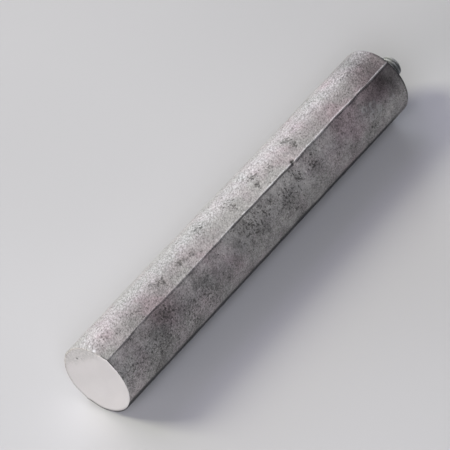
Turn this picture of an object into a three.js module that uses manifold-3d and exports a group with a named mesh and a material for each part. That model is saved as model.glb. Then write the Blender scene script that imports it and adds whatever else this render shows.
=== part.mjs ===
// Sacrificial magnesium anode rod for a water heater: a bar of magnesium cast round a steel core rod,
// whose threaded end stands out of the bar as its fixing stud.
//
// Millimetres, +Z up. The bar lies along Y on a flat of its lower parting corner, with the sawn end at -Y
// and the stud at +Y. The origin is at the bottom centre of the whole rod.

import * as THREE from 'three';
import { mergeVertices } from 'three/addons/utils/BufferGeometryUtils.js';
import Module from 'manifold-3d';

// Cast bar
const BAR_DIAMETER = 26;
const BAR_LENGTH = 157.5;
const PARTING_ANGLE = THREE.MathUtils.degToRad(71); // upper parting corner, from +X towards +Z
const CORNER_HALF_ANGLE = THREE.MathUtils.degToRad(19); // from a corner to where its flats touch the circle
const SHOULDER_ROUNDING = 0.5; // rim of the cast end, round the stud
const SAW_ALLOWANCE = 6; // the pouring end, which is sawn off

// Steel core rod and its M8 stud
const THREAD_DIAMETER = 8;
const THREAD_PITCH = 1.25;
const THREAD_DEPTH = 0.6134 * THREAD_PITCH; // on an external thread of the M series
const THREAD_FLANK_ANGLE = THREE.MathUtils.degToRad(30); // half of the thread's 60 degrees
const CREST_FLAT = THREAD_PITCH / 8;
const STUD_LENGTH = 9.5; // shoulder to tip
const STUD_CHAMFER = 0.8;
const NECK_LENGTH = 0.5; // plain neck between the shoulder and the thread
const CORE_DIAMETER = 7.2; // plain rod, of the size that an M8 thread is rolled on
const CORE_END_COVER = 25; // magnesium between the core's inner end and the sawn face
const CORE_END_CHAMFER = 0.6;
const FIT_GAP = 0.3; // between the core and the casting round it

// Fineness of the faceted surfaces
const ARC_FACETS = 36; // on each of the bar's two round sides
const ROUNDING_FACETS = 3;
const STUD_FACETS = 32;
const THREAD_ROWS = 8; // along one pitch
const MERGE_DISTANCE = 1e-4;

const BAR_RADIUS = BAR_DIAMETER / 2;
const CORE_RADIUS = CORE_DIAMETER / 2;
const CORE_DEPTH = BAR_LENGTH - CORE_END_COVER;
const WHOLE_LENGTH = BAR_LENGTH + STUD_LENGTH;

const wasm = await Module();
wasm.setup();

function merged(geometry) {
  geometry.deleteAttribute('normal');
  geometry.deleteAttribute('uv');
  return mergeVertices(geometry, MERGE_DISTANCE);
}

function solidOf(geometry) {
  const closed = merged(geometry);
  return new wasm.Manifold(
    new wasm.Mesh({
      numProp: 3,
      vertProperties: new Float32Array(closed.attributes.position.array),
      triVerts: new Uint32Array(closed.index.array),
    }),
  );
}

function geometryOf(solid) {
  const { vertProperties, triVerts } = solid.getMesh();
  const geometry = new THREE.BufferGeometry();
  geometry.setAttribute('position', new THREE.BufferAttribute(vertProperties, 3));
  geometry.setIndex(new THREE.BufferAttribute(triVerts, 1));
  geometry.computeVertexNormals();
  return geometry;
}

function polar(radius, angle) {
  return new THREE.Vector2(radius * Math.cos(angle), radius * Math.sin(angle));
}

// The bar's section is a circle with two opposite corners on the mould's parting plane. Each corner is made
// by two flats that touch the circle. The round sides have facets that touch the same circle, so the facet
// under the bar's centre of mass belongs to the flat that the bar lies on.
function barOutline() {
  const facetAngle = (Math.PI - 2 * CORNER_HALF_ANGLE) / ARC_FACETS;
  const cornerRadius = BAR_RADIUS / Math.cos(CORNER_HALF_ANGLE);
  const facetRadius = BAR_RADIUS / Math.cos(facetAngle / 2);
  const points = [];
  for (const corner of [PARTING_ANGLE, PARTING_ANGLE + Math.PI]) {
    points.push(polar(cornerRadius, corner));
    for (let i = 0; i < ARC_FACETS; i++) {
      points.push(polar(facetRadius, corner + CORNER_HALF_ANGLE + (i + 0.5) * facetAngle));
    }
  }
  return new THREE.Shape(points);
}

// Cast as one length with rounded rims, from the shoulder at z = 0 along +Z.
function pouredBar() {
  const length = BAR_LENGTH + SAW_ALLOWANCE;
  const geometry = new THREE.ExtrudeGeometry(barOutline(), {
    depth: length - 2 * SHOULDER_ROUNDING,
    bevelEnabled: true,
    bevelThickness: SHOULDER_ROUNDING,
    bevelSize: SHOULDER_ROUNDING,
    bevelOffset: -SHOULDER_ROUNDING,
    bevelSegments: ROUNDING_FACETS,
  });
  return solidOf(geometry.translate(0, 0, SHOULDER_ROUNDING));
}

// The blind hole that the core fills, open at the shoulder.
function coreBore() {
  const depth = CORE_DEPTH + FIT_GAP;
  const radius = CORE_RADIUS + FIT_GAP;
  const overrun = BAR_RADIUS;
  const geometry = new THREE.CylinderGeometry(radius, radius, depth + overrun, STUD_FACETS);
  geometry.rotateX(Math.PI / 2);
  return solidOf(geometry.translate(0, 0, (depth - overrun) / 2));
}

// Everything past the sawn face.
function sawnOffEnd() {
  const size = 2 * BAR_DIAMETER;
  const geometry = new THREE.BoxGeometry(size, size, size);
  return solidOf(geometry.translate(0, 0, BAR_LENGTH + size / 2));
}

function anodeCasting() {
  const material = new THREE.MeshStandardMaterial({
    color: 0xaaa5a4,
    roughness: 0.62,
    metalness: 0.85,
    flatShading: true,
  });
  const geometry = geometryOf(pouredBar().subtract(coreBore()).subtract(sawnOffEnd()));
  const casting = new THREE.Mesh(geometry, material);
  casting.name = 'anode_casting';
  casting.rotation.x = Math.PI / 2; // the shoulder faces +Y
  return casting;
}

// Half section of the core rod, from its inner end to the stud's tip, before the thread is cut.
function coreProfile() {
  const tipRadius = THREAD_DIAMETER / 2 - STUD_CHAMFER;
  const points = [
    new THREE.Vector2(0, -CORE_DEPTH),
    new THREE.Vector2(CORE_RADIUS - CORE_END_CHAMFER, -CORE_DEPTH),
    new THREE.Vector2(CORE_RADIUS, -CORE_DEPTH + CORE_END_CHAMFER),
    new THREE.Vector2(CORE_RADIUS, 0),
  ];
  const rows = Math.round((STUD_LENGTH - NECK_LENGTH) / (THREAD_PITCH / THREAD_ROWS));
  for (let row = 0; row <= rows; row++) {
    const height = NECK_LENGTH + ((STUD_LENGTH - NECK_LENGTH) * row) / rows;
    const chamfered = tipRadius + STUD_LENGTH - height;
    points.push(new THREE.Vector2(Math.min(THREAD_DIAMETER / 2, chamfered), height));
  }
  points.push(new THREE.Vector2(0, STUD_LENGTH));
  return points;
}

// Radius of a right-hand 60-degree thread with flat crests and roots. It fades in over its first pitch.
function threadRadius(turn, height) {
  const along = height - turn * THREAD_PITCH;
  const fromCrest = Math.abs(along - THREAD_PITCH * Math.round(along / THREAD_PITCH));
  const cut = (fromCrest - CREST_FLAT / 2) / Math.tan(THREAD_FLANK_ANGLE);
  const full = THREAD_DIAMETER / 2 - THREE.MathUtils.clamp(cut, 0, THREAD_DEPTH);
  const fade = THREE.MathUtils.clamp((height - NECK_LENGTH) / THREAD_PITCH, 0, 1);
  return THREE.MathUtils.lerp(CORE_RADIUS, full, fade);
}

function cutThread(geometry) {
  const position = geometry.attributes.position;
  for (let i = 0; i < position.count; i++) {
    const point = new THREE.Vector3().fromBufferAttribute(position, i);
    const radius = Math.hypot(point.x, point.z);
    if (point.y > NECK_LENGTH - MERGE_DISTANCE && radius > MERGE_DISTANCE) {
      const turn = Math.atan2(point.x, point.z) / (2 * Math.PI);
      const shrink = Math.min(radius, threadRadius(turn, point.y)) / radius;
      position.setXYZ(i, point.x * shrink, point.y, point.z * shrink);
    }
  }
}

function coreStud() {
  const material = new THREE.MeshStandardMaterial({
    color: 0x6f7672,
    roughness: 0.4,
    metalness: 0.9,
    flatShading: true,
  });
  const geometry = merged(new THREE.LatheGeometry(coreProfile(), STUD_FACETS));
  cutThread(geometry);
  geometry.computeVertexNormals();
  const stud = new THREE.Mesh(geometry, material);
  stud.name = 'core_stud';
  return stud;
}

// Both pieces are made round the bar's axis with the shoulder at y = 0.
const anodeRod = new THREE.Group();
anodeRod.add(anodeCasting(), coreStud());
anodeRod.position.set(0, BAR_LENGTH - WHOLE_LENGTH / 2, BAR_RADIUS);

export default anodeRod;
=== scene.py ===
"""A cast magnesium anode rod for a water heater, lying on a pale table.

The part's two solids give every size and place, and two fine meshes stand for them: the casting, with its
cast skin, parting lip, pits and sawn face, and the steel core rod, with the thread on its stud.

Lengths are in metres and angles in radians, and MM and DEGREE are one millimetre and one degree. An angle
round the bar starts at +X and grows towards +Z. A share is a share of the bar's length, from the sawn end.
"""

import math

import bpy
import numpy as np
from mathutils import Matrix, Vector


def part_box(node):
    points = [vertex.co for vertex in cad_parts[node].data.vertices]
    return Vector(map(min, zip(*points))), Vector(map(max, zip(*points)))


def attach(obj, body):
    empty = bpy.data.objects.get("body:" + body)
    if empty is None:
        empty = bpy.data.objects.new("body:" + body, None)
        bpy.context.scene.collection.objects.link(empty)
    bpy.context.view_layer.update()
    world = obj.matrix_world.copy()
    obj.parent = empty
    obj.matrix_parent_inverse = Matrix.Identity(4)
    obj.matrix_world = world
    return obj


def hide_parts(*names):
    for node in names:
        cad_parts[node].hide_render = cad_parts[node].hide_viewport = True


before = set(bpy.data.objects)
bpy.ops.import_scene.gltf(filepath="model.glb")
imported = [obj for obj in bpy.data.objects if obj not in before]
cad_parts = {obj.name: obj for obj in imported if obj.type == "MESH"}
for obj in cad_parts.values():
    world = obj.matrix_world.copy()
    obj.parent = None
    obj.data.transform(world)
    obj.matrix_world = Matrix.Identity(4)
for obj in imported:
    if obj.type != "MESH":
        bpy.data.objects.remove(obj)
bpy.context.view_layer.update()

MM = 0.001
DEGREE = math.pi / 180
TURN = 2.0 * math.pi

# The grid of points on the casting
AROUND = 240
SAWN_RINGS = 40
SIDE_RINGS = 300
EDGE_RINGS = 5
SHOULDER_RINGS = 14
HOLE_RINGS = 4
CORNER_CROWDING = 0.2  # the spacing of the points beside a parting corner, as a share of even spacing
CROWDING_POWER = 1.5  # how quickly the spacing widens away from the corner

# The rim of the sawn end
SAWN_RIM_LEAST = 0.12 * MM  # edge rounding on the side that the saw left sharp
SAWN_RIM_MOST = 1.1 * MM
SAWN_RIM_SHARP_SIDE = 45 * DEGREE
SAWN_RIM_AT_CORNER = 0.7 * MM  # added where the lower parting corner was dressed
SAWN_RIM_CORNER_SPREAD = 18 * DEGREE
SAWN_RIM_TURNS = (3, 18, 35, 53, 71, 90)  # degrees round the edge, from the sawn face to the side

# The sawn face
ROUGH_PATCH_SIDE = 135 * DEGREE  # the side where the saw missed the cast surface
ROUGH_PATCH_START = 0.46  # in bar radii from the axis
ROUGH_PATCH_WANDER = 0.05  # of its edge, in bar radii
ROUGH_PATCH_WANDER_SIZE = 1.6 * MM  # of the noise that moves the edge
ROUGH_PATCH_FADE = 0.3  # in bar radii
ROUGH_PATCH_DEPTH = 0.05 * MM
ROUGH_PATCH_RELIEF = 0.5  # the height of its waves, as a share of the cast skin's
BLOWHOLES = (
    # across the sawn face and up from the axis in bar radii, radius and depth in mm
    (-0.57, 0.43, 0.42, 0.35),
    (-0.42, 0.52, 0.30, 0.10),
    (-0.36, 0.56, 0.26, 0.08),
)
SAW_MARK_SPACING = 1.1 * MM
SAW_MARK_DEPTH = 0.006 * MM
SAW_MARK_WANDER = 2.5 / TURN  # as a share of the spacing
SAW_MARK_WANDER_SIZE = 6 * MM
SAW_BLADE_RADIUS = 120 * MM
SAW_HUB_DROP = 0.3 * SAW_BLADE_RADIUS  # from the level of the bar's axis to the blade's hub
# Painted shade on the sawn face along its lower edge, next to the table
LOWER_EDGE_SHADE_WIDTH = 0.42 * MM  # on the sawn face, along its lower edge
LOWER_EDGE_SHADE_FROM = (-150, -85)  # degrees round the bar between which it grows
LOWER_EDGE_SHADE_TO = (-50, -15)  # degrees round the bar between which it ends
LOWER_EDGE_SHADE_LEAST = 0.2  # its strength before it grows
LOWER_EDGE_SHADE_THIN = 0.6  # its strength where it is thin
LOWER_EDGE_SHADE_THIN_SIZE = 2 * MM  # of the noise that thins it

# The cast end, round the stud
SHOULDER_ROUNDING_LEAST = 0.3 * MM
SHOULDER_ROUNDING_MOST = 0.9 * MM
SHOULDER_WORN_SIDE = 15 * DEGREE
SHOULDER_WEAR = (0.2, 1.0)  # cosines of the angle from the worn side between which the wear grows
SHOULDER_ROUNDING_AT_CORNER = 0.5 * MM  # added where a parting corner ends
SHOULDER_CORNER_SPREAD = 9 * DEGREE
# Painted shade along the upper rim of the cast end, where its rounded edge turns away from the light
RIM_SHADE_REACH = (0.69 * MM, 1.495 * MM)  # from the shoulder, where it starts to fade and where it ends
RIM_SHADE_HEIGHT = (-0.15, 0.25)  # above the axis in bar radii, where it starts and where it is full
RIM_SHADE_END = (60, 130)  # degrees round the bar between which it fades
RIM_SHADE_THIN = 0.6  # its strength where it is thin
RIM_SHADE_THIN_SIZE = 1.5 * MM  # of the noise that thins it

# The parting corners aren't quite straight
CORNER_BOWS = (
    # share of the length, spread in mm, degrees
    (0.13, 11, 1.7),
    (0.45, 45, 1.1),
    (0.85, 25, 0.5),
)

# The parting lip: a thin raised line of metal on each parting corner
LIP_HALF_WIDTH = 0.3 * MM
LIP_HEIGHT = 0.13 * MM  # above the skin on each side of it
LIP_LEAST = 0.25  # its strength at the sawn end, as a share of its full strength
LIP_RISE = (0.22, 0.6)  # shares of the length between which it grows to its full strength
LIP_WANDER = 0.19 * MM
LIP_WANDER_SIZE = 5 * MM
LIP_BREAKS = (0.25, 0.6)  # values of the noise between which the lip goes from broken to whole
LIP_BREAKS_SIZE = 2.2 * MM
LIP_BREAKS_LEAST = 0.45  # its strength where it is broken down
LIP_BANK = 3.0 * MM  # how far from the lip the skin has risen most of the way back to the bar's outline

# The groove beside the lip, where the two halves of the mould didn't match
GROOVE_OFFSET = 0.48 * MM  # from the lip's crest
GROOVE_HALF_WIDTH = 0.28 * MM
GROOVE_DEPTH = 0.16 * MM
GROOVE_LEAST = 0.5  # its strength where there is no lip
GROOVE_BREAKS = (0.3, 0.6)
GROOVE_BREAKS_SIZE = 3 * MM
GROOVE_BREAKS_LEAST = 0.4

# The notch in the upper parting lip
NOTCH_SHARE = 0.645
NOTCH_OFFSET = 1 * DEGREE  # from the parting corner
NOTCH_RADIUS = 0.85 * MM
NOTCH_DEPTH = 0.4 * MM
NOTCH_STRETCH = 1.4
NOTCH_TURN = 0.9

# The cast skin
SKIN_WAVES = (
    # size and height of the waves
    (26 * MM, 0.07 * MM),
    (8 * MM, 0.035 * MM),
    (2.6 * MM, 0.035 * MM),
    (0.9 * MM, 0.03 * MM),
)
PIT_CLUSTERS = (
    # share, degrees round the bar, spread in mm, strength
    (0.044, 101, 1.2, 0.5),
    (0.208, 101, 0.9, 0.8),
    (0.226, 92, 1.2, 1.0),
    (0.290, 92, 1.0, 0.9),
    (0.321, 89, 0.8, 0.7),
    (0.385, 109, 1.6, 1.0),
    (0.476, 98, 1.7, 0.7),
    (0.551, 87, 0.8, 1.0),
    (0.563, 103, 1.5, 0.9),
    (0.603, 92, 1.1, 0.8),
    (0.688, 103, 1.3, 1.0),
    (0.686, 92, 1.1, 0.8),
    (0.048, 37, 2.5, 0.6),
    (0.100, 2, 1.5, 0.8),
    (0.130, 45, 6.0, 0.4),
    (0.165, 25, 2.5, 0.7),
    (0.175, 54, 3.0, 0.9),
    (0.222, 29, 2.0, 0.9),
    (0.225, 12, 2.2, 0.8),
    (0.286, 21, 1.8, 0.9),
    (0.470, 50, 3.2, 0.9),
    (0.514, 51, 1.6, 0.8),
    (0.538, 56, 1.0, 0.8),
    (0.580, 40, 3.1, 0.8),
    (0.632, 54, 1.4, 1.0),
    (0.682, 51, 2.0, 0.7),
    (0.872, 18, 1.6, 0.6),
)
PITS_PER_CLUSTER = 9  # in a cluster of full strength
BROAD_CLUSTER = 2.0  # spread in mm above which a cluster has more pits, in proportion
PIT_RADIUS = (0.26, 0.5)  # least and most, in mm
PIT_DEPTH = (0.05, 0.2)  # in mm
PIT_STRETCH = (1.0, 2.4)  # length over width
PIT_OUTLINE_LEAST = 0.75  # what the distance from a pit is multiplied by where its outline bulges most
PIT_OUTLINE_RANGE = 0.5  # added to that, at most, where its outline is drawn in
PIT_OUTLINE_SIZE = 0.8 * MM
PIT_WINDOW = 1.6  # half the rows looked at for one pit, in its long radii
LOOSE_PITS = 420
LOOSE_PIT_RADIUS = (0.26, 0.42)  # in mm
LOOSE_PIT_DEPTH = (0.02, 0.09)  # in mm
FULL_PIT_DEPTH = 0.2 * MM  # where a pit looks its darkest
HIDDEN_CLUSTERS = 26  # scattered over the sides that face down and away
HIDDEN_SIDE = (152, 325)  # degrees round the bar
HIDDEN_SHARES = (0.02, 0.98)
HIDDEN_SPREAD = (1.0, 3.5)  # in mm
HIDDEN_STRENGTH = (0.5, 1.0)
STAIN_REACH = 1.6  # of the stain round a cluster, in spreads of its pits

# The skin's uneven colour
TONE_PATCHES = (
    # share, degrees round the bar, spread along and round the bar in mm, lightness
    (0.03, 18, 8, 8, 0.22),
    (0.015, 56, 7, 4, -0.26),
    (0.04, 90, 7, 12, 0.12),
    (0.16, 56, 10, 7, -0.28),
    (0.16, 92, 10, 7, -0.04),
    (0.20, 58, 26, 4, -0.10),
    (0.14, 4, 8, 4, -0.14),
    (0.20, 33, 18, 4, 0.05),
    (0.48, 90, 16, 6, 0.18),
    (0.36, 83, 34, 3, 0.12),
    (0.60, 52, 17, 7, 0.26),
    (0.62, 90, 18, 6, 0.22),
    (0.68, 22, 14, 8, 0.06),
    (0.96, 59, 9, 4, -0.40),
    (0.90, 50, 8, 5, -0.28),
    (0.97, 38, 5, 4, -0.34),
    (0.95, 84, 8, 6, -0.20),
    (0.96, 120, 9, 12, -0.38),
    (0.94, 10, 9, 5, 0.20),
)
BLUSH_PATCHES = (
    # as above, but pink where the strength is above zero and greenish where it is below
    (0.17, 61, 6, 5, 1.9),
    (0.17, 20, 9, 7, -0.9),
    (0.19, 100, 7, 4, 0.5),
    (0.09, 100, 7, 4, 0.5),
    (0.82, 60, 9, 8, 0.6),
    (0.93, 62, 14, 5, 1.0),
    (0.65, 92, 16, 5, 0.35),
    (0.06, 90, 6, 6, 0.4),
    (0.62, 42, 16, 9, -0.5),
    (0.47, 45, 12, 9, -0.5),
    (0.05, 42, 12, 11, -0.6),
    (0.55, 57, 13, 5, -0.9),
    (0.45, 58, 6, 5, -0.7),
    (0.50, 150, 90, 9, -0.5),
    (0.00, 165, 3, 12, -1.0),
    (0.96, 12, 9, 6, -1.2),
)
GRAIN_PATCHES = (
    # as above, but coarser grain where the strength is above zero
    (0.94, 105, 14, 9, 0.45),
    (0.94, 55, 10, 4, -0.3),
    (0.16, 35, 22, 9, 0.45),
    (0.45, 115, 70, 9, -0.16),
    (0.40, 48, 9, 6, -0.4),
    (0.55, 62, 8, 3, -0.4),
    (0.62, 33, 8, 5, -0.4),
)
# Painted shade on the bar's underside: the skin is darkened below its widest part, where shade falls on it
NEAR_SHADE_BELOW = (3 * DEGREE, 10 * DEGREE)  # below the bar's widest part, where it starts and where it is full
FAR_SHADE_BELOW = (50 * DEGREE, 88 * DEGREE)  # the same on the -X side
SHADE_BELOW_WOBBLE = 3 * DEGREE
SHADE_BELOW_WOBBLE_SIZE = 7 * MM
SHADE_BELOW_END = (0.92, 0.98)  # shares of the length between which it fades
SHADE_BELOW_LEFT = 0.2  # past its end
COARSE_EDGE = 0.02  # half the width of the step from one half of the mould to the other, in bar radii
SCUFFS = (
    # rings rubbed by a round end: share, degrees round the bar, radius in mm
    (0.893, 42, 1.5),
    (0.905, 32, 1.0),
    (0.880, 31, 1.2),
    (0.950, 26, 1.1),
    (0.868, 48, 0.9),
)
SCUFF_HALF_WIDTH = 0.34 * MM
SCUFF_BREAKS = (0.2, 0.5)  # values of the noise between which a ring goes from broken to whole
SCUFF_BREAKS_SIZE = 1.2 * MM
KNOCK_GLINTS = (
    # bright knocks, rubbed metal with a painted glint: share, degrees round the bar, radius in mm
    (0.005, 95, 0.5),
    (0.013, 106, 0.25),
    (0.003, 103, 0.22),
)

# The core rod and its thread
TURN_POINTS = 96
PITCH_ROWS = 16
TIP_RINGS = (0.97, 0.9, 0.6, 0.3)  # radii, as shares of the radius of the stud's flat tip
THREAD_PITCH = 1.25 * MM
THREAD_DEPTH = 0.6134 * THREAD_PITCH
THREAD_FLANK_ANGLE = 30 * DEGREE
CREST_FLAT = THREAD_PITCH / 8
NECK_LENGTH = 0.5 * MM
STUD_CHAMFER = 0.8 * MM
CORE_END_CHAMFER = 0.6 * MM
CAST_IN_GAP = 0.03 * MM

# The camera, on the side of the sawn end
VIEW_AZIMUTH = 35.16 * DEGREE  # 0 looks along +Y
VIEW_ELEVATION = 48.4 * DEGREE
VIEW_DISTANCE = 93.65  # in bar radii, from the sawn face
AIM_RIGHT = 3.084  # in bar radii, from the sawn face's centre to the middle of the view
AIM_UP = 3.733
FOCAL_LENGTH = 312.6
SENSOR_WIDTH = 36.0
CLIP_START = 0.01

# The stage
FLOOR_HALF_SIZE = 3.0
LIGHTS = (
    # azimuth from +X and elevation in degrees, distance and width in metres, watts, colour
    ("key_softbox", 214, 36, 3.0, 1.0, 69.0, (1.065, 1.055, 0.88)),
    ("top_softbox", 180, 50, 3.0, 1.6, 19.6, (0.965, 0.89, 1.17)),
    ("side_softbox", 147, 12, 3.0, 1.6, 52.0, (0.925, 0.98, 1.1)),
    ("front_softbox", 300, 42, 1.0, 0.53, 5.4, (0.962, 0.976, 1.09)),
    ("low_softbox", 270, 12, 1.5, 0.8, 14.7, (1.03, 0.97, 1.03)),
)
WORLD_STRENGTH = 0.01

SEED = 26  # the noises and draws are seeded with this and the numbers after it


# ---- Numbers ----


def wrapped(angle, period):
    """The angle moved by whole periods to lie within half a period of zero."""
    return (angle + period / 2) % period - period / 2


def smoothstep(low, high, value):
    share = np.clip((value - low) / (high - low), 0.0, 1.0)
    return share * share * (3.0 - 2.0 * share)


def bell(value, width):
    """1 where the value is zero, falling to 1/e where it is as large as the width."""
    return np.exp(-((value / width) ** 2))


def at_least(least, share):
    """The share, from 0 to 1, squeezed to lie from least to 1."""
    return least + (1.0 - least) * share


def smooth_noise(points, cell, seed):
    """Values from 0 to 1 that vary smoothly between the corners of cells of that size."""
    size = 64
    lattice = np.random.default_rng(seed).random((size, size, size))
    where = points / cell
    low = np.floor(where).astype(int)
    part = where - low
    part = part * part * (3.0 - 2.0 * part)
    total = np.zeros(points.shape[:-1])
    for corner in np.ndindex(2, 2, 2):
        weight = np.prod(np.where(corner, part, 1.0 - part), axis=-1)
        index = (low + corner) % size
        total += weight * lattice[index[..., 0], index[..., 1], index[..., 2]]
    return total


def smooth_wander(points, cell, seed):
    """The same, from -1 to 1."""
    return 2.0 * (smooth_noise(points, cell, seed) - 0.5)


# ---- Sizes read from the two solids ----


class Bar:
    """The cast bar's sizes and outline, read from its solid."""

    def __init__(self, node):
        low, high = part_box(node)
        self.sawn_y = low.y
        self.shoulder_y = high.y
        self.length = high.y - low.y
        self.radius = (high.z - low.z) / 2
        self.axis_height = low.z + self.radius
        across = np.array([(v.co.x, v.co.z - self.axis_height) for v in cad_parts[node].data.vertices])
        reach = np.hypot(across[:, 0], across[:, 1])
        far = reach.argmax()
        self.corner_angle = math.atan2(across[far, 1], across[far, 0]) % math.pi
        self.corner_half_angle = math.acos(self.radius / reach[far])

    def share(self, y):
        """The share of the bar's length from the sawn end."""
        return (y - self.sawn_y) / self.length

    def bow(self, y):
        """How far a parting corner has wandered from its place, as an angle."""
        total = 0.0
        for place, spread, degrees in CORNER_BOWS:
            from_place = (self.share(y) - place) * self.length
            total = total + degrees * DEGREE * bell(from_place, spread * MM)
        return total

    def from_corner(self, angle, y):
        """The angle from the nearer of the two parting corners."""
        return wrapped(angle - self.corner_angle - self.bow(y), math.pi)

    def outline(self, angle, y):
        """Distance from the axis to the bar's side: a circle, and the flats that touch it at its corners."""
        half_angle = self.corner_half_angle - self.bow(y)
        on_flat = np.clip(half_angle - np.abs(self.from_corner(angle, y)), 0.0, None)
        return self.radius / np.cos(on_flat)

    def offset(self, share, angles, place, angle):
        """How far each point is from one place on the bar's side: along the bar, and round it."""
        return (share - place) * self.length, wrapped(angles - angle, TURN) * self.radius


class Core:
    """The steel core rod's sizes, read from its solid."""

    def __init__(self, node):
        low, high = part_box(node)
        self.inner_y = low.y
        self.tip_y = high.y
        self.thread_radius = (high.x - low.x) / 2
        inside = [v.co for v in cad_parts[node].data.vertices if v.co.y < bar.shoulder_y]
        self.radius = max(math.hypot(p.x, p.z - bar.axis_height) for p in inside)


bar = Bar("anode_casting")
core = Core("core_stud")


# ---- Meshes made of rows of points round the bar's axis ----


def row_of_points(y, radius, angles):
    """A row round the bar's axis. The y and the radius are each one number, or one for each angle."""
    x = radius * np.cos(angles)
    z = bar.axis_height + radius * np.sin(angles)
    return np.stack([x, y + np.zeros_like(angles), z], axis=-1)


def grid_mesh(name, points, start, end):
    """A closed mesh from rows of points, with each end closed by a fan round one more point."""
    rows, around = points.shape[:2]
    vertices = points.reshape(-1, 3).tolist() + [tuple(start), tuple(end)]
    ring = np.arange(around)
    following = np.roll(ring, -1)
    faces = []
    for row in range(rows - 1):
        a = row * around
        b = a + around
        faces += np.stack([a + ring, b + ring, b + following, a + following], axis=-1).tolist()
    last = (rows - 1) * around
    start_pole = rows * around
    faces += [(start_pole, i, j) for i, j in zip(ring.tolist(), following.tolist())]
    faces += [(start_pole + 1, last + j, last + i) for i, j in zip(ring.tolist(), following.tolist())]
    mesh = bpy.data.meshes.new(name)
    mesh.from_pydata(vertices, [], faces)
    mesh.shade_smooth()
    return mesh


def add_values(mesh, name, values):
    """A number for each point of a grid mesh, for its material to read. The two end points get zero."""
    attribute = mesh.attributes.new(name, "FLOAT", "POINT")
    attribute.data.foreach_set("value", np.append(values.ravel(), (0.0, 0.0)).astype(np.float32))


def outward_normals(points):
    """The outward direction at each point of a grid of rows."""
    along = np.gradient(points, axis=0)
    round_bar = np.roll(points, -1, axis=1) - np.roll(points, 1, axis=1)
    normals = np.cross(along, round_bar)
    return normals / np.maximum(np.linalg.norm(normals, axis=-1, keepdims=True), 1e-12)


def new_object(name, data):
    piece = bpy.data.objects.new(name, data)
    bpy.context.scene.collection.objects.link(piece)
    return piece


# ---- The casting's plain surface ----


def casting_angles():
    """Angles round the bar, drawn closer together beside the two parting corners."""
    even = np.arange(AROUND) * TURN / AROUND
    offset = wrapped(even, math.pi)
    share = np.abs(offset) / (math.pi / 2)
    spaced = CORNER_CROWDING * share + (1.0 - CORNER_CROWDING) * share**CROWDING_POWER
    crowded = np.sign(offset) * (math.pi / 2) * spaced
    return bar.corner_angle + even - offset + crowded


def sawn_rim(angles):
    """The edge rounding of the sawn end: sharp on one side, and largest on the lower parting corner."""
    dull = smoothstep(-1.0, 1.0, -np.cos(angles - SAWN_RIM_SHARP_SIDE))
    from_lower_corner = wrapped(angles - bar.corner_angle - math.pi, TURN)
    at_corner = SAWN_RIM_AT_CORNER * bell(from_lower_corner, SAWN_RIM_CORNER_SPREAD)
    return SAWN_RIM_LEAST + (SAWN_RIM_MOST - SAWN_RIM_LEAST) * dull + at_corner


def shoulder_rounding(angles):
    """The edge rounding of the cast end: more where it is worn, and where a parting corner ends."""
    worn = smoothstep(*SHOULDER_WEAR, np.cos(angles - SHOULDER_WORN_SIDE))
    rounding = SHOULDER_ROUNDING_LEAST + (SHOULDER_ROUNDING_MOST - SHOULDER_ROUNDING_LEAST) * worn
    from_corner = bar.from_corner(angles, bar.shoulder_y)
    return rounding + SHOULDER_ROUNDING_AT_CORNER * bell(from_corner, SHOULDER_CORNER_SPREAD)


def steps(count):
    """That many equal steps from 0 to 1, without the 0."""
    return np.linspace(0.0, 1.0, count + 1)[1:]


def casting_rows(angles):
    """The casting's plain surface, in rows from the middle of the sawn face to the end of the core's hole.

    Returns the rows' points and the name of each row's zone.
    """
    rim = sawn_rim(angles)
    rounding = shoulder_rounding(angles)
    hole = core.radius + CAST_IN_GAP
    sawn_outline = bar.outline(angles, bar.sawn_y)
    cast_outline = bar.outline(angles, bar.shoulder_y)
    rows = []

    def add_row(zone, y, radius):
        rows.append((zone, row_of_points(y, radius, angles)))

    for share in steps(SAWN_RINGS):
        add_row("sawn", bar.sawn_y, share * (sawn_outline - rim))
    for degrees in SAWN_RIM_TURNS:
        turn = degrees * DEGREE
        y = bar.sawn_y + rim * (1.0 - math.cos(turn))
        add_row("rim", y, bar.outline(angles, y) - rim * (1.0 - math.sin(turn)))
    for share in steps(SIDE_RINGS):
        y = (1.0 - share) * (bar.sawn_y + rim) + share * (bar.shoulder_y - rounding)
        add_row("side", y, bar.outline(angles, y))
    for share in steps(EDGE_RINGS):
        turn = share * 90 * DEGREE
        y = bar.shoulder_y - rounding * (1.0 - math.sin(turn))
        add_row("edge", y, bar.outline(angles, y) - rounding * (1.0 - math.cos(turn)))
    for share in steps(SHOULDER_RINGS):
        add_row("shoulder", bar.shoulder_y, (1.0 - share) * (cast_outline - rounding) + share * hole)
    for share in steps(HOLE_RINGS):
        y = (1.0 - share) * bar.shoulder_y + share * (core.inner_y - CAST_IN_GAP)
        add_row("hole", y, hole)
    return np.array([points for _, points in rows]), np.array([zone for zone, _ in rows])


# ---- The casting's relief ----


def lip_strength(share):
    """How proud the parting lip stands: hardly at all near the sawn end, and most beyond the middle."""
    return at_least(LIP_LEAST, smoothstep(*LIP_RISE, share))


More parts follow.
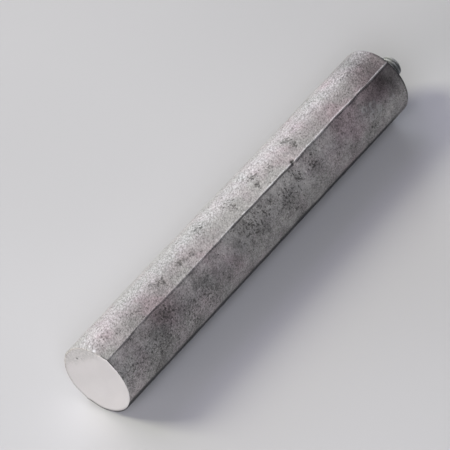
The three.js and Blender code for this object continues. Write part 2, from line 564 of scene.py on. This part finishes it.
def lip_and_groove(points, angles, share):
    """From 0 to 1, how much each point belongs to the raised parting lip, and to the groove beside it."""
    along_only = np.stack([share * bar.length, np.cos(angles) * bar.radius, np.zeros_like(share)], axis=-1)
    wander = LIP_WANDER * smooth_wander(along_only, LIP_WANDER_SIZE, SEED + 1)
    across = bar.from_corner(angles, points[..., 1]) * bar.radius + wander
    lip_breaks = smoothstep(*LIP_BREAKS, smooth_noise(along_only, LIP_BREAKS_SIZE, SEED + 2))
    groove_breaks = smoothstep(*GROOVE_BREAKS, smooth_noise(along_only, GROOVE_BREAKS_SIZE, SEED + 5))
    strength = lip_strength(share)
    lip = bell(across, LIP_HALF_WIDTH) * at_least(LIP_BREAKS_LEAST, lip_breaks) * strength
    groove = bell(across + GROOVE_OFFSET, GROOVE_HALF_WIDTH) * at_least(GROOVE_LEAST, strength)
    return lip, groove * at_least(GROOVE_BREAKS_LEAST, groove_breaks)


def scattered_pits():
    """The clusters, and the pits: each pit's share, angle, radius, depth, stretch and turn."""
    draw = np.random.default_rng(SEED)
    pits = []

    def add_pit(share, angle, radius, depth):
        pits.append((share, angle, radius, depth, draw.uniform(*PIT_STRETCH), draw.uniform(0.0, math.pi)))

    clusters = list(PIT_CLUSTERS)
    for _ in range(HIDDEN_CLUSTERS):
        ranges = (HIDDEN_SHARES, HIDDEN_SIDE, HIDDEN_SPREAD, HIDDEN_STRENGTH)
        clusters.append(tuple(draw.uniform(*least_and_most) for least_and_most in ranges))
    for place, degrees, spread, strength in clusters:
        for _ in range(round(PITS_PER_CLUSTER * strength * max(1.0, spread / BROAD_CLUSTER))):
            share = place + draw.normal(0.0, spread * MM) / bar.length
            angle = degrees * DEGREE + draw.normal(0.0, spread * MM) / bar.radius
            add_pit(share, angle, draw.uniform(*PIT_RADIUS) * MM, draw.uniform(*PIT_DEPTH) * strength * MM)
    for _ in range(LOOSE_PITS):
        share = draw.uniform(0.0, 1.0)
        angle = draw.uniform(0.0, TURN)
        add_pit(share, angle, draw.uniform(*LOOSE_PIT_RADIUS) * MM, draw.uniform(*LOOSE_PIT_DEPTH) * MM)
    return clusters, pits


def notch():
    """The notch in the upper parting lip, as one more pit."""
    angle = bar.corner_angle + NOTCH_OFFSET
    return NOTCH_SHARE, angle, NOTCH_RADIUS, NOTCH_DEPTH, NOTCH_STRETCH, NOTCH_TURN


def pit_depths(share, angles, unevenness, pits):
    """How deep the pits are at each point. The unevenness, from 0 to 1, spoils their outlines."""
    depths = np.zeros_like(share)
    for place, angle, radius, depth, stretch, turn in pits:
        from_pit = np.abs(share[:, 0] - place) * bar.length
        rows = np.where(from_pit < PIT_WINDOW * radius * stretch)[0]
        if not len(rows):
            continue
        near = slice(rows[0], rows[-1] + 1)
        along, across = bar.offset(share[near], angles[near], place, angle)
        lengthwise = (along * math.cos(turn) + across * math.sin(turn)) / stretch
        crosswise = across * math.cos(turn) - along * math.sin(turn)
        outline = PIT_OUTLINE_LEAST + PIT_OUTLINE_RANGE * unevenness[near]
        distance = np.hypot(lengthwise, crosswise) / radius * outline
        depths[near] = np.maximum(depths[near], depth * np.clip(1.0 - distance**2, 0.0, 1.0))
    return depths


def skin_relief(points, angles):
    """How far the cast skin lies below the bar's outline: the dip on each side of the lip, and the waves."""
    from_corner = bar.from_corner(angles, points[..., 1]) * bar.radius
    relief = LIP_HEIGHT * bell(from_corner, LIP_BANK)
    for number, (size, height) in enumerate(SKIN_WAVES):
        relief += height * smooth_noise(points, size, SEED + 10 + number)
    return relief


def rough_patch(points):
    """From 0 to 1, how far each point lies in the part of the sawn end that the saw missed."""
    up = points[..., 2] - bar.axis_height
    towards = points[..., 0] * math.cos(ROUGH_PATCH_SIDE) + up * math.sin(ROUGH_PATCH_SIDE)
    edge = ROUGH_PATCH_START + ROUGH_PATCH_WANDER * smooth_wander(points, ROUGH_PATCH_WANDER_SIZE, SEED + 20)
    return smoothstep(0.0, ROUGH_PATCH_FADE, towards / bar.radius - edge)


def saw_marks(points):
    """The shallow arcs that the saw blade left, as depths."""
    hub_height = bar.axis_height - SAW_HUB_DROP
    from_hub = np.hypot(points[..., 0] + SAW_BLADE_RADIUS, points[..., 2] - hub_height)
    wander = SAW_MARK_WANDER * smooth_wander(points, SAW_MARK_WANDER_SIZE, SEED + 21)
    return SAW_MARK_DEPTH * (1.0 + np.sin(TURN * (from_hub / SAW_MARK_SPACING + wander)))


def blowholes(points):
    """The depths of the small holes that the saw opened."""
    depths = np.zeros(points.shape[:-1])
    for across, up, radius, depth in BLOWHOLES:
        x = points[..., 0] - across * bar.radius
        z = points[..., 2] - bar.axis_height - up * bar.radius
        distance = np.hypot(x, z) / (radius * MM)
        depths = np.maximum(depths, depth * MM * np.clip(1.0 - distance**2, 0.0, 1.0))
    return depths


# ---- The values that the casting's materials read ----


def cluster_stain(share, angles, clusters):
    """From 0 to 1, how much each point lies in a stained cluster of pits."""
    stain = np.zeros_like(share)
    for place, degrees, spread, strength in clusters:
        distance = np.hypot(*bar.offset(share, angles, place, degrees * DEGREE))
        stain = np.maximum(stain, strength * bell(distance, STAIN_REACH * spread * MM))
    return stain


def broad_patches(patches, share, angles):
    """The sum of soft-edged patches at each point."""
    total = np.zeros_like(share)
    for place, degrees, spread_along, spread_across, strength in patches:
        along, across = bar.offset(share, angles, place, degrees * DEGREE)
        total += strength * bell(along, spread_along * MM) * bell(across, spread_across * MM)
    return total


def shade_below_bar(points, angles, share):
    """From 0 to 1, how strongly painted shade darkens the bar's underside."""
    wobble = SHADE_BELOW_WOBBLE * smooth_wander(points, SHADE_BELOW_WOBBLE_SIZE, SEED + 7)
    near_side = smoothstep(*NEAR_SHADE_BELOW, -wrapped(angles, TURN) + wobble)
    far_side = smoothstep(*FAR_SHADE_BELOW, wrapped(angles - math.pi, TURN) + wobble)
    fade = at_least(SHADE_BELOW_LEFT, 1.0 - smoothstep(*SHADE_BELOW_END, share))
    return np.where(np.cos(angles) > 0.0, near_side, far_side) * fade


def scuffs(points, angles, share):
    """From 0 to 1, how strongly the broken rings of the scuffs show."""
    total = np.zeros_like(share)
    for place, degrees, radius in SCUFFS:
        distance = np.hypot(*bar.offset(share, angles, place, degrees * DEGREE))
        total = np.maximum(total, bell(distance - radius * MM, SCUFF_HALF_WIDTH))
    return total * smoothstep(*SCUFF_BREAKS, smooth_noise(points, SCUFF_BREAKS_SIZE, SEED + 8))


def knock_glints(share, angles):
    """From 0 to 1, how strongly a knock's rubbed metal and its painted glint show at each point."""
    total = np.zeros_like(share)
    for place, degrees, radius in KNOCK_GLINTS:
        distance = np.hypot(*bar.offset(share, angles, place, degrees * DEGREE))
        total = np.maximum(total, bell(distance, radius * MM))
    return total


def coarse_half(y, angles):
    """1 on the half of the bar that the mould's coarser half made, on the +X side, and 0 on the other."""
    from_parting = np.sin(angles - bar.corner_angle - bar.bow(y))
    return smoothstep(-COARSE_EDGE, COARSE_EDGE, -from_parting)


def upper_rim_shade(points, angles):
    """From 0 to 1, how strongly painted shade darkens the rim of the cast end. It lies on the rim's upper
    side.
    """
    near_shoulder = 1.0 - smoothstep(*RIM_SHADE_REACH, bar.shoulder_y - points[..., 1])
    high = smoothstep(*RIM_SHADE_HEIGHT, np.sin(angles))
    before_end = 1.0 - smoothstep(*RIM_SHADE_END, angles / DEGREE % 360)
    thin = at_least(RIM_SHADE_THIN, smooth_noise(points, RIM_SHADE_THIN_SIZE, SEED + 6))
    return near_shoulder * high * before_end * thin


def lower_edge_shade(points, angles):
    """From 0 to 1, how strongly painted shade darkens the sawn face along its lower edge."""
    reach = np.hypot(points[..., 0], points[..., 2] - bar.axis_height)
    from_edge = bar.outline(angles, bar.sawn_y) - sawn_rim(angles) - reach
    turn = wrapped(angles, TURN) / DEGREE
    lower = at_least(LOWER_EDGE_SHADE_LEAST, smoothstep(*LOWER_EDGE_SHADE_FROM, turn))
    lower = lower * (1.0 - smoothstep(*LOWER_EDGE_SHADE_TO, turn))
    thin = at_least(LOWER_EDGE_SHADE_THIN, smooth_noise(points, LOWER_EDGE_SHADE_THIN_SIZE, SEED + 9))
    return bell(from_edge, LOWER_EDGE_SHADE_WIDTH) * lower * thin


# ---- The casting ----


def make_casting():
    """The casting: its plain surface, sunk by its relief, with the values that its two materials read."""
    row_angles = casting_angles()
    plain, zones = casting_rows(row_angles)
    share = bar.share(plain[..., 1])
    angles = np.broadcast_to(row_angles, share.shape)
    sawn, rim, side, edge, shoulder = (
        (zones == name)[:, None].astype(float) for name in ("sawn", "rim", "side", "edge", "shoulder")
    )
    sides = rim + side + edge
    skin = sides + shoulder

    clusters, pits = scattered_pits()
    pits.append(notch())
    lip, groove = lip_and_groove(plain, angles, share)
    lip = lip * sides
    groove = groove * sides
    unevenness = smooth_noise(plain, PIT_OUTLINE_SIZE, SEED + 3)
    pit = pit_depths(share, angles, unevenness, pits) * sides
    hole = blowholes(plain) * sawn
    rough = rough_patch(plain) * sawn

    below = skin_relief(plain, angles) * (skin + ROUGH_PATCH_RELIEF * rough) * (1.0 - lip)
    below = below + pit + GROOVE_DEPTH * groove
    below = below + ROUGH_PATCH_DEPTH * rough + saw_marks(plain) * sawn * (1.0 - rough) + hole
    points = plain - outward_normals(plain) * below[..., None]

    end = (0.0, core.inner_y - CAST_IN_GAP, bar.axis_height)
    mesh = grid_mesh("anode_casting_skin", points, points[0].mean(axis=0), end)
    values = {
        "lip": lip,
        "groove": groove,
        "pit": np.clip((pit + hole) / FULL_PIT_DEPTH, 0.0, 1.0),
        "stain": cluster_stain(share, angles, clusters) * skin,
        "tone": broad_patches(TONE_PATCHES, share, angles) * skin,
        "blush": broad_patches(BLUSH_PATCHES, share, angles) * skin,
        # painted shade on the underside
        "shade_below": shade_below_bar(points, angles, share) * skin,
        "coarse_half": coarse_half(plain[..., 1], angles),
        "scuff": scuffs(points, angles, share) * skin,
        "graininess": 1.0 + broad_patches(GRAIN_PATCHES, share, angles),
        # rubbed metal with a painted glint, on the knocks
        "worn": knock_glints(share, angles) * skin,
        # painted shade along the upper rim of the cast end, and along the sawn face's lower edge
        "edge_shade": upper_rim_shade(points, angles) * (side + edge) + lower_edge_shade(points, angles) * sawn,
        "rough_patch": rough,
    }
    for name, numbers in values.items():
        add_values(mesh, name, numbers)
    mesh.materials.append(cast_skin())
    mesh.materials.append(sawn_metal())
    slots = np.zeros(len(mesh.polygons), dtype=np.int32)
    slots[: (SAWN_RINGS - 1) * AROUND] = 1
    slots[-2 * AROUND : -AROUND] = 1  # the fan in the middle of the sawn face
    mesh.polygons.foreach_set("material_index", slots)
    return new_object("anode_casting_skin", mesh)


# ---- The core rod ----


def thread_radius(angle, height):
    """The radius of a right-hand 60-degree thread. It fades in over its first pitch above the neck."""
    turn = (math.pi / 2 - angle) / TURN
    along = height - turn * THREAD_PITCH
    from_crest = np.abs(along - THREAD_PITCH * np.round(along / THREAD_PITCH))
    cut = (from_crest - CREST_FLAT / 2) / math.tan(THREAD_FLANK_ANGLE)
    full = core.thread_radius - np.clip(cut, 0.0, THREAD_DEPTH)
    fade = smoothstep(NECK_LENGTH, NECK_LENGTH + THREAD_PITCH, height)
    return core.radius + (full - core.radius) * fade


def make_core():
    """The core rod, from its inner end to the stud's tip, with the thread cut above the shoulder."""
    angles = np.arange(TURN_POINTS) * TURN / TURN_POINTS
    all_round = np.ones_like(angles)
    stud = core.tip_y - bar.shoulder_y
    tip_radius = core.thread_radius - STUD_CHAMFER
    rows = [
        # y, radius, and how near the point is to the thread's crest, from 0 to 1
        (core.inner_y, (core.radius - CORE_END_CHAMFER) * all_round, 0.0 * all_round),
        (core.inner_y + CORE_END_CHAMFER, core.radius * all_round, 0.0 * all_round),
    ]
    for height in np.linspace(0.0, stud, round(stud / THREAD_PITCH * PITCH_ROWS)):
        radius = np.minimum(thread_radius(angles, height), tip_radius + stud - height)
        rows.append((bar.shoulder_y + height, radius, 1.0 - (core.thread_radius - radius) / THREAD_DEPTH))
    for share in TIP_RINGS:
        rows.append((core.tip_y, share * tip_radius * all_round, all_round))
    points = np.array([row_of_points(y, radius, angles) for y, radius, _ in rows])
    crests = np.array([crest for _, _, crest in rows])
    start = (0.0, core.inner_y, bar.axis_height)
    end = (0.0, core.tip_y, bar.axis_height)
    mesh = grid_mesh("threaded_core", points, start, end)
    add_values(mesh, "crest", np.clip(crests, 0.0, 1.0))
    mesh.materials.append(plated_thread())
    return new_object("threaded_core", mesh)


# ---- Materials ----


class Nodes:
    """Short calls for building one material's node tree."""

    def __init__(self, name):
        self.material = bpy.data.materials.new(name)
        self.material.use_nodes = True
        self.tree = self.material.node_tree
        self.shader = self.tree.nodes["Principled BSDF"]
        self.place = self.tree.nodes.new("ShaderNodeTexCoord").outputs["Object"]

    def put(self, socket, value):
        """Feed the socket another node's result, or a plain number or colour."""
        if isinstance(value, bpy.types.NodeSocket):
            self.tree.links.new(value, socket)
        else:
            socket.default_value = value

    def new(self, kind, inputs=None, **settings):
        node = self.tree.nodes.new(kind)
        for key, value in settings.items():
            setattr(node, key, value)
        for key, value in (inputs or {}).items():
            self.put(node.inputs[key], value)
        return node

    def values(self, name):
        """The numbers that add_values put on the mesh."""
        return self.new("ShaderNodeAttribute", attribute_name=name).outputs["Fac"]

    def math(self, operation, a, b):
        return self.new("ShaderNodeMath", {0: a, 1: b}, operation=operation).outputs[0]

    def add(self, a, b):
        return self.math("ADD", a, b)

    def minus(self, a, b):
        return self.math("SUBTRACT", a, b)

    def times(self, a, b):
        return self.math("MULTIPLY", a, b)

    def larger(self, a, b):
        return self.math("MAXIMUM", a, b)

    def between(self, value, low, high, to_low=0.0, to_high=1.0):
        """The value's place between low and high, eased, and spread from to_low to to_high."""
        inputs = {"Value": value, 1: low, 2: high, 3: to_low, 4: to_high}
        return self.new("ShaderNodeMapRange", inputs, interpolation_type="SMOOTHSTEP").outputs[0]

    def vector_math(self, operation, inputs):
        return self.new("ShaderNodeVectorMath", inputs, operation=operation).outputs

    def along(self, direction):
        """How far each point lies along a direction of about unit length."""
        return self.vector_math("DOT_PRODUCT", {0: self.place, 1: direction})["Value"]

    def squeezed(self, direction, share):
        """The place, squeezed along one direction, so that a noise there is longer in that direction."""
        along = self.vector_math("PROJECT", {0: self.place, 1: direction})[0]
        return self.vector_math("MULTIPLY_ADD", {0: along, 1: (share - 1.0,) * 3, 2: self.place})[0]

    def scaled(self, colour, factor):
        return self.vector_math("SCALE", {0: colour, "Scale": factor})[0]

    def noise(self, size, detail=2.0, roughness=0.5, place=None):
        if place is None:
            place = self.place
        inputs = {"Vector": place, "Scale": 1.0 / size, "Detail": detail, "Roughness": roughness}
        return self.new("ShaderNodeTexNoise", inputs).outputs["Fac"]

    def mix(self, share, first, second):
        """A mix of two colours, whose sockets are numbered 6 and 7, and 2 for the result."""
        return self.new("ShaderNodeMix", {0: share, 6: first, 7: second}, data_type="RGBA").outputs[2]

    def bump(self, height, distance, strength=1.0):
        inputs = {"Height": height, "Distance": distance, "Strength": strength}
        return self.new("ShaderNodeBump", inputs).outputs["Normal"]

    def finish(self, colour, metallic, roughness, normal):
        self.put(self.shader.inputs["Base Color"], colour)
        self.put(self.shader.inputs["Metallic"], metallic)
        self.put(self.shader.inputs["Roughness"], roughness)
        self.put(self.shader.inputs["Normal"], normal)
        return self.material


def grey(value, tint=(1.0, 1.0, 1.0)):
    """A grey, slightly tinted, as red, green, blue and alpha."""
    return tuple(value * part for part in tint) + (1.0,)


NOISE_MIDDLE = (0.35, 0.65)  # a noise's values lie mostly in this range
NOISE_SPREAD = (0.3, 0.7)  # and nearly all in this one

# The cast skin
GREENISH_OXIDE = grey(0.332, (1.005, 0.98, 0.93))
PLAIN_OXIDE = grey(0.337, (1.035, 0.965, 0.94))
PINK_OXIDE = grey(0.328, (1.115, 0.94, 0.955))
STAINED = grey(0.17, (1.05, 1.02, 0.88))
# the pits' own dark colour, also used for the painted shade in the groove
PIT_DARK_AND_GROOVE_SHADE = grey(0.05, (1.05, 1.0, 0.92))
# a painted highlight on the parting lip's crest
LIP_HIGHLIGHT = grey(0.52)
SCUFFED_METAL = grey(0.45, (1.0, 1.0, 0.97))
# rubbed metal with a painted glint, on the knocks
KNOCK_GLINT_METAL = grey(0.9)
# the colour of the painted shade along the cast end's rim
RIM_SHADE_COLOUR = grey(0.045)
# the colour of the painted shade on the underside
SHADE_BELOW_COLOUR = grey(0.035, (0.98, 1.0, 1.04))
BLUSH_SIZE = 10 * MM
BLUSH_PATCH_STRENGTH = 0.25
GREENISH_TO_PLAIN = (0.3, 0.5)  # values of the blush between which the tint changes
PLAIN_TO_PINK = (0.48, 0.78)
MOTTLE_SIZE = 3.2 * MM
MOTTLE_STRENGTH = (0.45, 1.25)  # on the finer half and on the coarser one
BLOTCH_SIZE = 7 * MM
BLOTCH_STRENGTH = 1.15  # on the coarser half
GRAIN_SIZE = 0.45 * MM
GRAIN_STRENGTH = 1.85
BRUSH_DIRECTION = (-0.57, 0.81, -0.15)  # the way that the mould's coating was brushed on
BRUSH_SQUEEZE = 0.5  # of the place along that way, which makes the grain longer there
SPECK_SIZE = 0.85 * MM
SPECK_RANGE = (0.64, 0.72)  # values of the noise between which a dark speck shows
SPECKS_IN_STAIN = 0.17  # added to the noise in a stain
SPECK_STRENGTH = 0.8
# how strongly painted shade darkens the groove beside the lip
GROOVE_SHADE_STRENGTH = 0.9
SKIN_METALLIC = (0.5, 0.3)  # where the mottle is dark and where it is light
SKIN_ROUGHNESS = (0.7, 0.5)  # where the grain is dark and where it is light
SKIN_SPECULAR = 0.2
SKIN_BUMP = 0.14 * MM

# The sawn face
SAWN_METAL = grey(0.50, (1.015, 0.985, 0.975))
PALER_SAWN_METAL = grey(0.515, (1.015, 0.985, 0.975))
MISSED_SKIN = grey(0.35, (1.01, 1.0, 0.97))
BLOWHOLE = grey(0.06)
# the colour of the painted shade along the sawn face's lower edge
LOWER_EDGE_SHADE_COLOUR = grey(0.04)
SAWN_GRAIN_SIZE = 0.35 * MM
MISSED_SKIN_SIZE = 0.75 * MM
MISSED_SKIN_LEAST = 0.25  # its strength in the gaps between its specks
SAWN_BROAD_SIZE = 6 * MM
# Painted light on the sawn face: its colour is made brighter towards one corner, as the light falls
PAINTED_LIGHT_WAY = (0.7, 0.0, -0.7)  # the way towards the brighter corner
PAINTED_LIGHT_REACH = (-11 * MM, 3 * MM)  # along that way, where the brightening starts and where it is full
PAINTED_LIGHT_GAIN = 1.07
# rings about 0.75 mm apart, slightly wavy
BLADE_RINGS = {"Scale": 420.0, "Distortion": 1.2, "Detail": 2.0, "Detail Scale": 3.0}
BLADE_RING_HEIGHT = 0.25
SAWN_METALLIC = 0.6
SAWN_ROUGHNESS = (0.5, 0.42)  # in the hollows and on the peaks of its grain
MISSED_SKIN_ROUGHNESS = 0.15  # added where the saw missed
SAWN_BUMP = 0.03 * MM

# The stud
ZINC = grey(0.34, (0.95, 0.99, 0.99))
PALER_ZINC = grey(0.43, (0.97, 0.99, 1.01))
# Painted shade in the thread's roots
THREAD_ROOT_SHADE = grey(0.15, (0.95, 1.0, 0.97))
THREAD_ROOT_SHADE_RANGE = (0.1, 0.75)  # shares of the way from root to crest between which the painted shade fades
THREAD_ROOT_SHADE_STRENGTH = 0.75
ZINC_GRAIN_SIZE = 0.3 * MM
ZINC_BROAD_SIZE = 2 * MM
ZINC_METALLIC = 0.7
ZINC_ROUGHNESS = (0.45, 0.6)  # in the hollows and on the peaks of its grain
ZINC_BUMP = 0.02 * MM

# The table
DARKER_TABLE = grey(0.49)
PALER_TABLE = grey(0.51)
TABLE_BROAD_SIZE = 120 * MM
TABLE_GRAIN_SIZE = 1.2 * MM
TABLE_ROUGHNESS = 0.6
TABLE_BUMP = 0.02 * MM


def oxide_colour(m):
    """The clean skin's tint, which drifts from greenish through plain to pink."""
    blush = m.add(m.noise(BLUSH_SIZE), m.times(m.values("blush"), BLUSH_PATCH_STRENGTH))
    colour = m.mix(m.between(blush, *GREENISH_TO_PLAIN), GREENISH_OXIDE, PLAIN_OXIDE)
    return m.mix(m.between(blush, *PLAIN_TO_PINK), colour, PINK_OXIDE)


def skin_lightness(m, mottle, grain):
    """How much lighter or darker than its tint the clean skin is."""
    coarse = m.values("coarse_half")
    noises = (
        (mottle, m.between(coarse, 0.0, 1.0, *MOTTLE_STRENGTH)),
        (m.noise(BLOTCH_SIZE, detail=1.5), m.times(coarse, BLOTCH_STRENGTH)),
        (grain, m.times(m.values("graininess"), GRAIN_STRENGTH)),
    )
    lightness = 1.0
    for noise, strength in noises:
        lightness = m.add(lightness, m.times(m.minus(noise, 0.5), strength))
    return m.times(lightness, m.add(1.0, m.values("tone")))


def dark_specks(m):
    """The skin's finest dark pits, which are denser in a stain."""
    specks = m.add(m.noise(SPECK_SIZE, roughness=0.55), m.times(m.values("stain"), SPECKS_IN_STAIN))
    return m.between(specks, *SPECK_RANGE)


def marked(m, colour, specks):
    """The clean skin's colour, with the marks of casting, wear and weather, and painted shade and highlights,
    laid over it in turn.
    """
    pits = m.larger(m.times(specks, SPECK_STRENGTH), m.values("pit"))
    pits_and_groove_shade = m.larger(pits, m.times(m.values("groove"), GROOVE_SHADE_STRENGTH))
    marks = (
        # where the mark is, how strongly it covers the skin, and its colour
        (m.values("stain"), 0.2, STAINED),
        # the pits' own dark, and painted shade in the groove beside the lip
        (pits_and_groove_shade, 0.92, PIT_DARK_AND_GROOVE_SHADE),
        # painted highlight on the lip's crest
        (m.values("lip"), 0.55, LIP_HIGHLIGHT),
        (m.values("scuff"), 0.8, SCUFFED_METAL),
        # rubbed metal with a painted glint
        (m.values("worn"), 1.0, KNOCK_GLINT_METAL),
        # painted shade along the cast end's rim
        (m.values("edge_shade"), 0.95, RIM_SHADE_COLOUR),
        # painted shade on the underside
        (m.values("shade_below"), 0.92, SHADE_BELOW_COLOUR),
    )
    for where, strength, mark in marks:
        colour = m.mix(m.times(where, strength), colour, mark)
    return colour


def cast_skin():
    """Weathered cast magnesium: speckled grain, soft oxide and dark pits, with painted shade and painted
    highlights.
    """
    m = Nodes("cast_skin")
    mottle = m.noise(MOTTLE_SIZE, detail=3.5, roughness=0.95)
    brushed = m.squeezed(BRUSH_DIRECTION, BRUSH_SQUEEZE)
    grain = m.noise(GRAIN_SIZE, detail=1.5, roughness=0.7, place=brushed)
    specks = dark_specks(m)
    colour = marked(m, m.scaled(oxide_colour(m), skin_lightness(m, mottle, grain)), specks)
    metallic = m.between(mottle, 0.4, 0.6, *SKIN_METALLIC)
    roughness = m.between(grain, 0.3, 0.75, *SKIN_ROUGHNESS)
    height = m.minus(m.add(m.times(grain, 0.5), mottle), m.times(specks, 0.5))
    m.shader.inputs["Specular IOR Level"].default_value = SKIN_SPECULAR
    return m.finish(colour, metallic, roughness, m.bump(height, SKIN_BUMP))


def blade_rings(m):
    """Fine rings round the saw blade's hub."""
    from_hub = (SAW_BLADE_RADIUS, 0.0, SAW_HUB_DROP - bar.axis_height)
    place = m.new("ShaderNodeMapping", {"Vector": m.place, "Location": from_hub}).outputs["Vector"]
    inputs = {"Vector": place, **BLADE_RINGS}
    return m.new("ShaderNodeTexWave", inputs, wave_type="RINGS", rings_direction="Y").outputs["Fac"]


def sawn_metal():
    """Bright sawn magnesium with fine blade marks, and the cast roughness where the saw missed."""
    m = Nodes("sawn_metal")
    grain = m.noise(SAWN_GRAIN_SIZE, detail=3.0, roughness=0.6)
    missed = m.noise(MISSED_SKIN_SIZE, detail=3.0, roughness=0.7)
    broad = m.noise(SAWN_BROAD_SIZE)
    rough = m.values("rough_patch")

    colour = m.mix(m.between(broad, *NOISE_MIDDLE), SAWN_METAL, PALER_SAWN_METAL)
    # painted light, brightening the sawn face towards its lower corner on the +X side
    painted_light = m.between(m.along(PAINTED_LIGHT_WAY), *PAINTED_LIGHT_REACH, 1.0, PAINTED_LIGHT_GAIN)
    colour = m.scaled(colour, painted_light)
    missed_share = m.times(rough, m.between(missed, *NOISE_MIDDLE, MISSED_SKIN_LEAST, 1.0))
    colour = m.mix(missed_share, colour, MISSED_SKIN)
    colour = m.mix(m.values("pit"), colour, BLOWHOLE)
    # painted shade along the sawn face's lower edge
    colour = m.mix(m.times(m.values("edge_shade"), 0.95), colour, LOWER_EDGE_SHADE_COLOUR)

    roughness = m.add(m.between(grain, *NOISE_SPREAD, *SAWN_ROUGHNESS), m.times(rough, MISSED_SKIN_ROUGHNESS))
    grain_height = m.times(grain, m.between(rough, 0.0, 1.0, 0.1, 1.0))
    height = m.add(m.times(blade_rings(m), BLADE_RING_HEIGHT), grain_height)
    return m.finish(colour, SAWN_METALLIC, roughness, m.bump(height, SAWN_BUMP, 0.7))


def plated_thread():
    """Dull zinc plating, slightly green, with painted shade in the thread's roots."""
    m = Nodes("plated_thread")
    grain = m.noise(ZINC_GRAIN_SIZE)
    broad = m.noise(ZINC_BROAD_SIZE)
    root_shade = m.between(m.values("crest"), *THREAD_ROOT_SHADE_RANGE, THREAD_ROOT_SHADE_STRENGTH, 0.0)
    colour = m.mix(m.between(broad, *NOISE_MIDDLE), ZINC, PALER_ZINC)
    # painted shade in the thread's roots
    colour = m.mix(root_shade, colour, THREAD_ROOT_SHADE)
    roughness = m.between(grain, *NOISE_SPREAD, *ZINC_ROUGHNESS)
    return m.finish(colour, ZINC_METALLIC, roughness, m.bump(grain, ZINC_BUMP, 0.5))


def table_top():
    """A plain pale table, with the faintest unevenness."""
    m = Nodes("table_top")
    broad = m.noise(TABLE_BROAD_SIZE, detail=1.0)
    grain = m.noise(TABLE_GRAIN_SIZE)
    colour = m.mix(m.between(broad, *NOISE_SPREAD), DARKER_TABLE, PALER_TABLE)
    return m.finish(colour, 0.0, TABLE_ROUGHNESS, m.bump(grain, TABLE_BUMP, 0.2))


# ---- The stage ----


def add_camera():
    side = math.cos(VIEW_AZIMUTH)
    ahead = math.sin(VIEW_AZIMUTH)
    level = math.cos(VIEW_ELEVATION)
    right = Vector((side, ahead, 0.0))
    forward = Vector((-ahead * level, side * level, -math.sin(VIEW_ELEVATION)))
    up = right.cross(forward)
    sawn_centre = Vector((0.0, bar.sawn_y, bar.axis_height))
    data = bpy.data.cameras.new("camera")
    data.lens = FOCAL_LENGTH
    data.sensor_width = SENSOR_WIDTH
    data.clip_start = CLIP_START
    camera = new_object("camera", data)
    camera.location = sawn_centre + bar.radius * (AIM_RIGHT * right + AIM_UP * up - VIEW_DISTANCE * forward)
    camera.rotation_euler = forward.to_track_quat("-Z", "Y").to_euler()
    bpy.context.scene.camera = camera


def add_floor():
    size = FLOOR_HALF_SIZE
    mesh = bpy.data.meshes.new("floor")
    corners = [(-size, -size, 0.0), (size, -size, 0.0), (size, size, 0.0), (-size, size, 0.0)]
    mesh.from_pydata(corners, [], [(0, 1, 2, 3)])
    mesh.materials.append(table_top())
    new_object("floor", mesh)


def add_light(name, azimuth, elevation, distance, width, power, colour):
    """A square area light aimed at the bar's middle."""
    level = math.cos(elevation * DEGREE)
    sideways = (math.cos(azimuth * DEGREE) * level, math.sin(azimuth * DEGREE) * level)
    direction = Vector((*sideways, math.sin(elevation * DEGREE)))
    data = bpy.data.lights.new(name, "AREA")
    data.shape = "SQUARE"
    data.size = width
    data.energy = power
    data.color = colour
    light = new_object(name, data)
    light.location = Vector((0.0, 0.0, bar.axis_height)) + direction * distance
    light.rotation_euler = (-direction).to_track_quat("-Z", "Y").to_euler()


def add_world():
    world = bpy.data.worlds.new("studio")
    world.use_nodes = True
    background = world.node_tree.nodes["Background"]
    background.inputs["Color"].default_value = (1.0, 1.0, 1.0, 1.0)
    background.inputs["Strength"].default_value = WORLD_STRENGTH
    bpy.context.scene.world = world


def place_piece(piece, node):
    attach(piece, "root")
    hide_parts(node)


add_camera()
add_floor()
for light in LIGHTS:
    add_light(*light)
add_world()
bpy.context.scene.view_settings.view_transform = "Standard"

place_piece(make_casting(), "anode_casting")
place_piece(make_core(), "core_stud")
